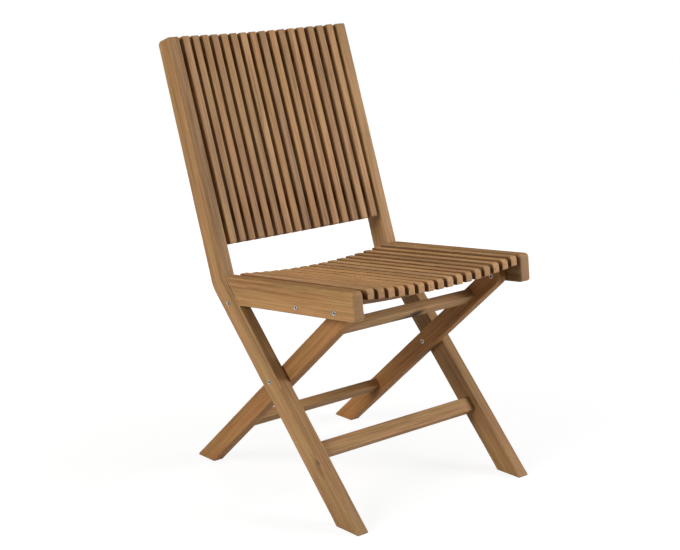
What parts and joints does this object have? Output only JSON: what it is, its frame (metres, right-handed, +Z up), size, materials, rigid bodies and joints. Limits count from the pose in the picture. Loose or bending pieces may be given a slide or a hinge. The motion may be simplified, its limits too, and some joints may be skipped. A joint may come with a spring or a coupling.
{
  "type": "folding side chair",
  "caption": "Folding garden chair of teak boards with a dished slatted seat and back, scissor legs and steel folding links; no arms.",
  "frame": {"origin": "on the floor, under the middle of the open chair's box", "axes": "+Z up; the chair faces -Y; +X is the sitter's left"},
  "size_m": [0.483, 0.6212, 0.9053],
  "materials": {
    "teak_frame": "oiled, satin to matt, straight fine grain",
    "teak_slats": "oiled, satin to matt, tone differs from slat to slat",
    "teak_battens": "oiled, matt, sawn",
    "bolt_steel": "satin stainless steel",
    "link_steel": "rolled flat strip, satin"
  },
  "bodies": {
    "root": {"left_long_leg": "teak_frame", "right_long_leg": "teak_frame", "front_cross_rail": "teak_frame", "lower_back_batten": "teak_battens", "upper_back_batten": "teak_battens", "back_slat_01": "teak_slats", "back_slat_02": "teak_slats", "back_slat_03": "teak_slats", "back_slat_04": "teak_slats", "back_slat_05": "teak_slats", "back_slat_06": "teak_slats", "back_slat_07": "teak_slats", "back_slat_08": "teak_slats", "back_slat_09": "teak_slats", "back_slat_10": "teak_slats", "back_slat_11": "teak_slats", "back_slat_12": "teak_slats", "back_slat_13": "teak_slats", "back_slat_14": "teak_slats", "back_slat_15": "teak_slats", "back_slat_16": "teak_slats", "left_scissor_bolt": "bolt_steel", "left_scissor_washer": "bolt_steel", "left_link_bolt": "bolt_steel", "right_scissor_bolt": "bolt_steel", "right_scissor_washer": "bolt_steel", "right_link_bolt": "bolt_steel"},
    "rear_leg_frame": {"left_rear_leg": "teak_frame", "right_rear_leg": "teak_frame", "upper_cross_rail": "teak_frame", "lower_cross_rail": "teak_frame"},
    "seat": {"left_seat_rail": "teak_frame", "right_seat_rail": "teak_frame", "front_seat_batten": "teak_battens", "rear_seat_batten": "teak_battens", "seat_slat_01": "teak_slats", "seat_slat_02": "teak_slats", "seat_slat_03": "teak_slats", "seat_slat_04": "teak_slats", "seat_slat_05": "teak_slats", "seat_slat_06": "teak_slats", "seat_slat_07": "teak_slats", "seat_slat_08": "teak_slats", "seat_slat_09": "teak_slats", "seat_slat_10": "teak_slats", "seat_slat_11": "teak_slats", "seat_slat_12": "teak_slats", "seat_slat_13": "teak_slats", "seat_slat_14": "teak_slats", "seat_slat_15": "teak_slats", "seat_slat_16": "teak_slats", "left_seat_bolt": "bolt_steel", "left_seat_washer": "bolt_steel", "left_link_stud": "bolt_steel", "right_seat_bolt": "bolt_steel", "right_seat_washer": "bolt_steel", "right_link_stud": "bolt_steel"},
    "left_link": {"left_link": "link_steel"},
    "right_link": {"right_link": "link_steel"}
  },
  "joints": [
    {"name": "scissor_fold", "type": "hinge", "parent": "root", "child": "rear_leg_frame", "pos_m": [0, -0.04382, 0.245], "axis": [-1, 0, 0], "range_deg": [0, 71]},
    {"name": "seat_fold", "type": "hinge", "parent": "rear_leg_frame", "child": "seat", "pos_m": [0, -0.2425, 0.4293], "axis": [1, 0, 0], "range_deg": [0, 145.46]},
    {"name": "left_link_fold", "type": "hinge", "parent": "seat", "child": "left_link", "pos_m": [0.2115, -0.12881, 0.41654], "axis": [-1, 0, 0], "range_deg": [0, 160.93]},
    {"name": "right_link_fold", "type": "hinge", "parent": "seat", "child": "right_link", "pos_m": [-0.2115, -0.12881, 0.41654], "axis": [-1, 0, 0], "range_deg": [0, 160.93]}
  ],
  "couplings": [
    {"joint": "seat_fold", "follows": "scissor_fold", "ratio": 2.0486},
    {"joint": "left_link_fold", "follows": "scissor_fold", "ratio": 2.2664},
    {"joint": "right_link_fold", "follows": "scissor_fold", "ratio": 2.2664}
  ]
}
